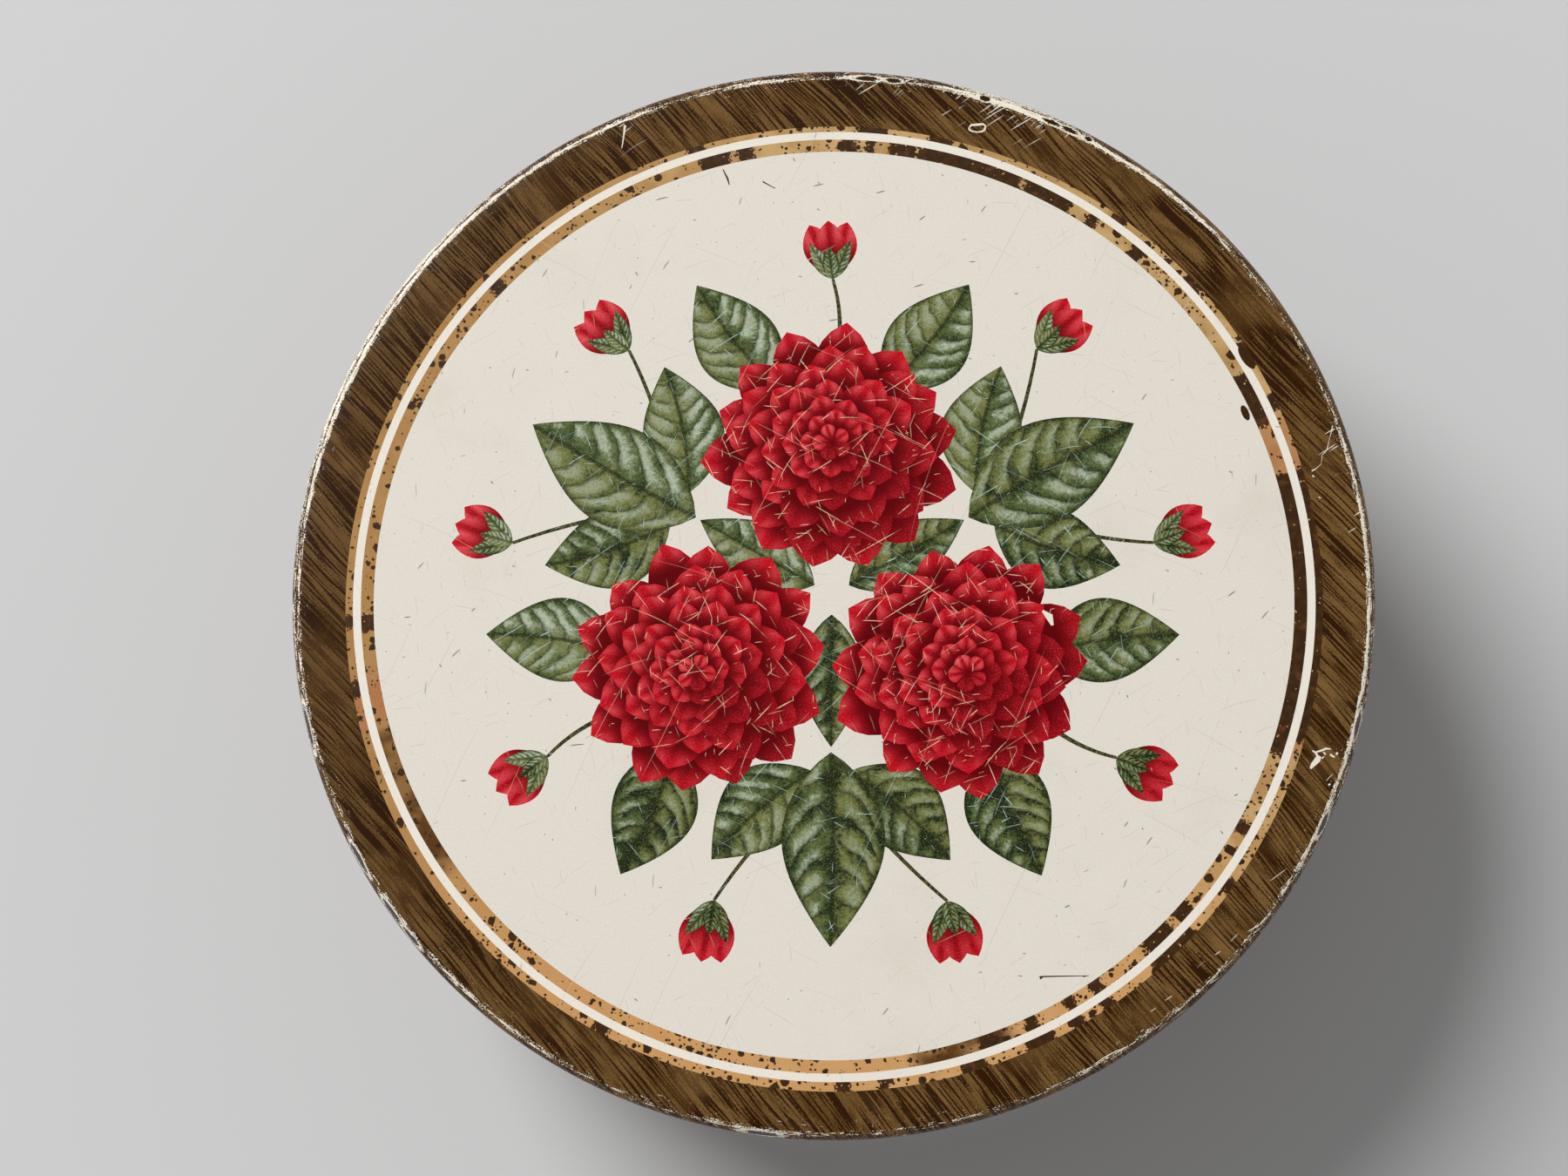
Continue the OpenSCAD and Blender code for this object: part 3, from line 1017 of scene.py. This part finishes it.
def folded(start, heading, steps):
    """The two faces of a folded sheet's section, right and left of its run, as (radius, height) points.

    Each step is a straight run, the turn that follows it and the inner radius of that turn."""
    x, y = start
    right, left = [], []

    def put():
        right.append((x, y))
        left.append((x - SHEET * math.sin(heading), y + SHEET * math.cos(heading)))

    put()
    for run, turn, bend in steps:
        pieces = math.ceil(run / LONGEST_RUN)
        for _ in range(pieces):
            x += run / pieces * math.cos(heading)
            y += run / pieces * math.sin(heading)
            put()
        arm = SHEET + bend if turn == LEFT else bend
        for _ in range(BEND_STEPS if turn else 0):
            centre_x = x - turn * arm * math.sin(heading)
            centre_y = y + turn * arm * math.cos(heading)
            heading += turn * math.pi / 2 / BEND_STEPS
            x = centre_x + turn * arm * math.sin(heading)
            y = centre_y - turn * arm * math.cos(heading)
            put()
    return right, left


def reaches(points, first=0.0):
    """The length along a section from its first point, which is that far along, to each of its points."""
    found = [first]
    for (ax, ay), (bx, by) in zip(points, points[1:]):
        found.append(found[-1] + math.hypot(bx - ax, by - ay))
    return found


def from_edge_back(reach):
    """Lengths along a section in turn from its cut edge, which both of the edge's rings share."""
    return reach[-1:] + reach[::-1]


class Body:
    """A mesh under construction: points in millimetres, faces, and what each face and corner carries."""

    def __init__(self, angles=TURNS):
        self.angles = angles
        self.points = []
        self.faces = []
        self.kinds = []
        self.sheet = []
        self.bake = []
        self.motif = []
        self.paint = []

    def face(self, corners, kind, sheet, bake, motif=None, paint=(0, 0, 0)):
        self.faces.append(corners)
        self.kinds.append(KINDS.index(kind))
        self.sheet += sheet
        self.bake += bake
        self.motif += motif or [(0.0, 0.0)] * len(corners)
        self.paint.append(paint)

    def ring(self, radius, height):
        """Adds a ring of points and gives their numbers. A ring of no size is one point, repeated."""
        first = len(self.points)
        count = len(self.angles)
        if radius < 1e-6:
            self.points.append((0.0, 0.0, height))
            return [first] * count
        self.points += [(x, y, height) for x, y in disc(radius, angles=self.angles)]
        return list(range(first, first + count))

    def band(self, one, two, kind, reach_one, reach_two, lay, bake):
        """Faces between two rings, the first of them below or inside where the faces look outwards.

        The corners' places on the flat sheet come from lay, and on the bake's map from bake."""
        count = len(self.angles)
        for k in range(count):
            n = (k + 1) % count
            near = self.angles[k]
            far = self.angles[n] if n else self.angles[0] + 2 * math.pi
            low = [(one[k], near, reach_one), (one[n], far, reach_one)]
            high = [(two[n], far, reach_two), (two[k], near, reach_two)]
            corners = {}
            for number, angle, reach in low + high:
                corners.setdefault(number, (angle, reach))
            sheet = [lay(*spot) for spot in corners.values()]
            baked = [bake(*spot, (near + far) / 2) for spot in corners.values()]
            self.face(list(corners), kind, sheet, baked)

    def turned(self, section, reach, kind, lay, bake, ring=None):
        """Faces along a section turned about the axis, from a ring that is there or from its first point.

        The lengths along the sheet start with that ring's or that point's."""
        if ring is None:
            ring = self.ring(*section[0])
            section = section[1:]
        for point, before, after in zip(section, reach, reach[1:]):
            fresh = self.ring(*point)
            self.band(fresh, ring, kind, after, before, lay, bake)
            ring = fresh
        return ring

    def build(self, name, body, node, age):
        """Makes the mesh and its object, which rides on a body in place of a node."""
        mesh = bpy.data.meshes.new(name)
        points = np.array(self.points)
        mesh.from_pydata((points * MM).tolist(), [], self.faces)
        for material in MATERIALS.values():
            mesh.materials.append(material)
        mesh.polygons.foreach_set("material_index", self.kinds)
        for map_name, values in (("sheet", self.sheet), ("motif", self.motif), ("OFBake", self.bake)):
            layer = mesh.uv_layers.new(name=map_name)
            layer.uv.foreach_set("vector", np.array(values, np.float32).ravel())
        for field, domain, values in (("paint", "FACE", self.paint), ("age", "POINT", age)):
            attribute = mesh.attributes.new(field, "FLOAT_VECTOR", domain)
            attribute.data.foreach_set("vector", np.array(values, np.float32).ravel())
        mesh.shade_smooth()
        piece = link(name, mesh)
        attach(piece, body)
        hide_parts(node)


def link(name, data):
    """A new object in the scene."""
    thing = bpy.data.objects.new(name, data)
    bpy.context.scene.collection.objects.link(thing)
    return thing


def on_disc(angle, reach):
    """A place on a round sheet laid flat."""
    return polar(reach, angle)


def disc_on_map(centre, radius, whole_reach):
    """Lays a round sheet on the bake's map, as a disc of that centre and radius."""
    def bake(angle, reach, middle):
        x, y = polar(reach * radius / whole_reach, angle)
        return (centre[0] + x, centre[1] + y)
    return bake


def add_top(body, bake):
    """The lid's printed top, cut along the outlines of its print. Gives the ring of points at its edge."""
    art = design()
    flat_points = []
    outlines = []
    for outline in art.outlines:
        outlines.append(list(range(len(flat_points), len(flat_points) + len(outline))))
        flat_points += outline
    row_pitch = GRID * math.sqrt(3) / 2
    rows = int(FLAT_R / row_pitch) + 1
    for row in range(-rows, rows + 1):
        for column in range(-rows, rows + 1):
            x = (column + 0.5 * (row % 2)) * GRID
            y = row * row_pitch
            if math.hypot(x, y) < FLAT_R - GRID:
                flat_points.append((x, y))
    flat_vectors = [Vector(p) for p in flat_points]
    found, _, triangles, came_from, _, areas = delaunay_2d_cdt(flat_vectors, [], outlines, 1, JOINED_WITHIN)
    xy = [tuple(p) for p in found]
    x, y = np.array(xy).T
    first = len(body.points)
    edge = {s: first + k for k, sources in enumerate(came_from) for s in sources if s < TURN_STEPS}
    body.points += list(zip(x, y, TOP - top_sink(x, y)))
    for corners, over in zip(triangles, areas):
        top = max(over)
        origin, angle, length, half_width = art.frames[top]
        cosine, sine = math.cos(angle), math.sin(angle)
        motif = []
        for corner in corners:
            dx = xy[corner][0] - PRINT_SHIFT[0] - origin[0]
            dy = xy[corner][1] - PRINT_SHIFT[1] - origin[1]
            motif.append(((dx * cosine + dy * sine) / length, (dy * cosine - dx * sine) / half_width))
        spots = [(math.atan2(xy[c][1], xy[c][0]), math.hypot(*xy[c])) for c in corners]
        body.face(
            [first + c for c in corners],
            art.kinds[top],
            [xy[c] for c in corners],
            [bake(a, r, a) for a, r in spots],
            motif,
            art.paints[top],
        )
    return [edge[k] for k in range(TURN_STEPS)]


# Where the round sheets lie on the bake's maps: centre and radius of each side
LID_PRINT_ON_MAP = (0.455, 0.545), 0.45
LID_INSIDE_ON_MAP = (0.868, 0.132), 0.127
BASE_TOP_ON_MAP = (0.298, 0.298), 0.288
BASE_UNDER_ON_MAP = (0.702, 0.702), 0.288


def make_lid():
    """The lid: its printed top, and its corner, skirt, curl and bare inside turned about the axis."""
    skirt = TOP - LID_LOW.z - LID_CORNER - LID_CURL
    curl = LID_CURL - SHEET
    inside, outside = folded((0, TOP - SHEET), 0.0, [
        (FLAT_R, RIGHT, LID_CORNER - SHEET),
        (skirt, RIGHT, curl),
        (0, RIGHT, curl),
        (0, RIGHT, curl),
    ])
    flat_count = math.ceil(FLAT_R / LONGEST_RUN)
    corner = outside[flat_count:]
    reach = reaches(corner, FLAT_R)
    whole = reach[-1]
    printed = disc_on_map(*LID_PRINT_ON_MAP, whole)
    hidden = disc_on_map(*LID_INSIDE_ON_MAP, whole)
    body = Body()
    ring = add_top(body, printed)
    top_count = len(body.points)
    ring = body.turned(corner[1:], reach, "wood", on_disc, printed, ring)
    print_count = len(body.points)
    body.turned(inside[::-1], from_edge_back(reaches(inside)), "bare", on_disc, hidden, ring)
    x, y = np.array(body.points)[:, :2].T
    spread = np.hypot(x, y)
    spread[top_count:print_count] = np.repeat(reach[1:], TURN_STEPS)
    body.build("lid_sheet", "lid", "lid", ageing(x, y, spread))


# The wall's strip on the bake's map: tiles in rows and columns, half of them for each side, and the place and
# size of the lock seam beside them
WALL_ROWS = 4
WALL_COLUMNS = 3
SIDE_TILES = WALL_ROWS * WALL_COLUMNS // 2
TILES_WIDTH = 0.96
MAP_MARGIN = 0.01
INSIDE_MARGINS = 1 - 2 * MAP_MARGIN
LOCK_ON_MAP = (0.975, 0.02)
LOCK_MAP_SIZE = (0.02, 0.9)


def round_wall(angle, reach):
    """A place on the wall's strip laid flat, from the line where its ends meet."""
    return ((angle - JOIN_ANGLE) * WALL_R, reach)


def strip_on_map(first_tile, whole_reach):
    """Lays a side of the wall's strip on the bake's map, cut into equal lengths that are stacked as tiles."""
    def bake(angle, reach, middle):
        number = int((middle - JOIN_ANGLE) / (2 * math.pi) * SIDE_TILES)
        along = (angle - JOIN_ANGLE) / (2 * math.pi) * SIDE_TILES - number
        row, column = divmod(first_tile + number, WALL_COLUMNS)
        u = (column + MAP_MARGIN + INSIDE_MARGINS * along) / WALL_COLUMNS
        v = (row + MAP_MARGIN + INSIDE_MARGINS * reach / whole_reach) / WALL_ROWS
        return (u * TILES_WIDTH + MAP_MARGIN, v * INSIDE_MARGINS + MAP_MARGIN)
    return bake


def add_lock_seam(body, steps=8, levels=12):
    """The strip's folded ends, pressed flat against the inside of the wall: a bar with rounded edges."""
    edge_r = (LOCK_LAYERS * SHEET + SHEET / 2) / 2
    edge_x = LOCK_W / 2 - edge_r
    middle_y = WALL_R - SHEET / 2 - edge_r
    section = []
    for side in (1, -1):
        for k in range(steps + 1):
            turn = math.pi * (k / steps - 0.5) + (0 if side > 0 else math.pi)
            section.append((side * edge_x + edge_r * math.cos(turn), middle_y + edge_r * math.sin(turn)))
    count = len(section)
    section_length = 4.0
    first = len(body.points)
    heights = [LOCK_LOW + (LOCK_HIGH - LOCK_LOW) * k / levels for k in range(levels + 1)]
    for z in heights:
        body.points += [(x, y, z) for x, y in section]

    def add_face(numbers, corners):
        u, v = LOCK_ON_MAP
        wide, high = LOCK_MAP_SIZE
        sheet = [(section_length * k / count, heights[level]) for k, level in corners]
        baked = [(u + wide * k / count, v + high * level / levels) for k, level in corners]
        body.face(numbers, "bare", sheet, baked)

    for level in range(levels):
        low, high = first + level * count, first + (level + 1) * count
        for k in range(count):
            n = (k + 1) % count
            corners = [(k, level), (k + 1, level), (k + 1, level + 1), (k, level + 1)]
            add_face([low + k, low + n, high + n, high + k], corners)
    for level, order in ((0, -1), (levels, 1)):
        start = first + level * count
        add_face(list(range(start, start + count))[::order], [(k, level) for k in range(count)])


def wall_angles():
    """Even steps round the wall from the line where its ends meet, and extra ones at that line's edges."""
    right = LOCK_W / 2
    left = right - JOIN_W
    extra = [math.acos(x / WALL_R) for x in (right, right - JOIN_EDGE, left + JOIN_EDGE, left)]
    return sorted(a if a >= JOIN_ANGLE else a + 2 * math.pi for a in TURNS + extra)


def sink_join(points):
    """Sinks the points in the line down the wall's outside where the strip's ends meet."""
    near = 0.01
    x, y, z = points.T
    in_line = (y > 0) & (x < LOCK_W / 2 - near) & (x > LOCK_W / 2 - JOIN_W + near)
    outside = abs(np.hypot(x, y) - WALL_R) < 1e-4
    sunk = in_line & outside & (z > LOCK_LOW - near) & (z < LOCK_HIGH + near)
    points[sunk, :2] *= (WALL_R - JOIN_DEPTH) / WALL_R


def make_wall():
    """The wall: a strip with a hook at its foot and a curl at its top, and the lock seam that closes it."""
    curl = WALL_CURL - SHEET
    outside, inside = folded((BASE_WALL_R + 3 * LAYER, HOOK_BEND_Z + HOOK_RUN), -math.pi / 2, [
        (HOOK_RUN, RIGHT, HOOK_BEND),
        (0, RIGHT, HOOK_BEND),
        (LOCK_LOW - HOOK_BEND_Z, STOP, 0),
        (LOCK_HIGH - LOCK_LOW, STOP, 0),
        (WALL_HIGH.z - WALL_CURL - LOCK_HIGH, LEFT, curl),
        (0, LEFT, curl),
        (0, LEFT, curl),
    ])
    reach = reaches(outside)
    inner_reach = reaches(inside)
    whole = max(reach[-1], inner_reach[-1])
    body = Body(wall_angles())
    printed = strip_on_map(0, whole)
    hidden = strip_on_map(SIDE_TILES, whole)
    start = body.ring(*inside[-1])
    ring = body.turned(outside[::-1], from_edge_back(reach), "wall", round_wall, printed, start)
    ring = body.turned(inside[:-1], inner_reach[:1] + inner_reach[:-1], "bare", round_wall, hidden, ring)
    body.band(start, ring, "bare", inner_reach[-1], inner_reach[-2], round_wall, hidden)
    points = np.array(body.points)
    sink_join(points)
    body.points = points.tolist()
    add_lock_seam(body)
    x, y, z = np.array(body.points).T
    body.build("wall_sheet", "box", "body_wall", wall_ageing(x, y, z))


def make_base():
    """The base: a raised middle, a flat edge, a short wall and a fold round the wall's hook."""
    bead_bend = (BEAD_H - SHEET) / 2
    foot_z = SHEET + SEAM_BEND
    under, over = folded((0, BASE_SINK + BEAD_H), 0.0, [
        (BEAD_R, RIGHT, bead_bend),
        (0, LEFT, bead_bend),
        (BASE_WALL_R - BASE_CORNER - BEAD_R - BEAD_H, RIGHT, BASE_CORNER),
        (BASE_SINK - BASE_CORNER - foot_z, LEFT, SEAM_BEND),
        (4 * LAYER - SHEET - 2 * SEAM_BEND, LEFT, SEAM_BEND),
        (COVER_BEND_Z - foot_z, LEFT, HOOK_BEND),
        (0, LEFT, HOOK_BEND),
        (HOOK_RUN, STOP, 0),
    ])
    reach = reaches(over)
    under_reach = reaches(under)
    whole = max(reach[-1], under_reach[-1])
    body = Body()
    ring = body.turned(over, reach, "bare", on_disc, disc_on_map(*BASE_TOP_ON_MAP, whole))
    below = disc_on_map(*BASE_UNDER_ON_MAP, whole)
    body.turned(under[::-1], from_edge_back(under_reach), "bare", on_disc, below, ring)
    body.build("base_sheet", "box", "base", np.zeros((len(body.points), 3)))


# The studio: its floor, the surround's strength and where it fades with height, and the lamp
FLOOR_HALF_M = 4.0
FLOOR_COLOUR = (0.62, 0.62, 0.62, 1.0)
HORIZON_STRENGTH = 0.75
ZENITH_STRENGTH = 0.08
FADE_LOW, FADE_HIGH = 0.35, 0.85
SOFTBOX_WATTS = 325.0
SOFTBOX_SIZE_M = 3.0
SOFTBOX_PLACE_M = Vector((-2.9, 2.8, 4.0))


def make_floor():
    """A plain pale floor."""
    mesh = bpy.data.meshes.new("floor")
    half = FLOOR_HALF_M
    corners = [(-half, -half, 0), (half, -half, 0), (half, half, 0), (-half, half, 0)]
    mesh.from_pydata(corners, [], [(0, 1, 2, 3)])
    mesh.materials.append(Graph("floor").finish(FLOOR_COLOUR, 0.8))
    link("floor", mesh)


def make_light():
    """A white surround that fades towards the zenith, and one large soft lamp."""
    world = bpy.data.worlds.new("studio")
    bpy.context.scene.world = world
    world.use_nodes = True
    g = Nodes(world.node_tree)
    sky = g.tree.nodes["Background"]
    sky.inputs["Color"].default_value = (1.0, 1.0, 1.0, 1.0)
    _, _, height = g.split(g.made(g.node("ShaderNodeTexCoord"), "Generated"))
    strength = g.ramp(height, FADE_LOW, FADE_HIGH, HORIZON_STRENGTH, ZENITH_STRENGTH)
    g.feed(sky.inputs["Strength"], strength)
    lamp = bpy.data.lights.new("softbox", "AREA")
    lamp.shape = "DISK"
    lamp.size = SOFTBOX_SIZE_M
    lamp.energy = SOFTBOX_WATTS
    softbox = link("softbox", lamp)
    aim = Vector((0, 0, TOP * MM)) - SOFTBOX_PLACE_M
    softbox.location = SOFTBOX_PLACE_M
    softbox.rotation_euler = aim.to_track_quat("-Z", "Y").to_euler()


# The camera, read from the photograph's printed rings: two tilts, distance and aim in lid radii, and lens
CAMERA_TILT = math.radians(9.52)
CAMERA_LEAN = math.radians(2.08)
CAMERA_DISTANCE = 5.781
CAMERA_AIM = (-0.0878, 0.013)
FOCAL_PIXELS = 3600
IMAGE_WIDTH = 1800
SENSOR = 36.0


def make_camera():
    camera = link("camera", bpy.data.cameras.new("camera"))
    camera.data.sensor_width = SENSOR
    camera.data.lens = SENSOR * FOCAL_PIXELS / IMAGE_WIDTH
    turn = Matrix.Rotation(CAMERA_TILT, 3, "X") @ Matrix.Rotation(CAMERA_LEAN, 3, "Y")
    aim = Vector((CAMERA_AIM[0], CAMERA_AIM[1], 0))
    place = (turn @ Vector((0, 0, CAMERA_DISTANCE)) + aim) * LID_R + Vector((*PRINT_SHIFT, TOP))
    camera.matrix_world = Matrix.Translation(place * MM) @ turn.to_4x4()
    bpy.context.scene.camera = camera


make_lid()
make_wall()
make_base()
make_floor()
make_light()
make_camera()
bpy.context.scene.view_settings.view_transform = "Standard"
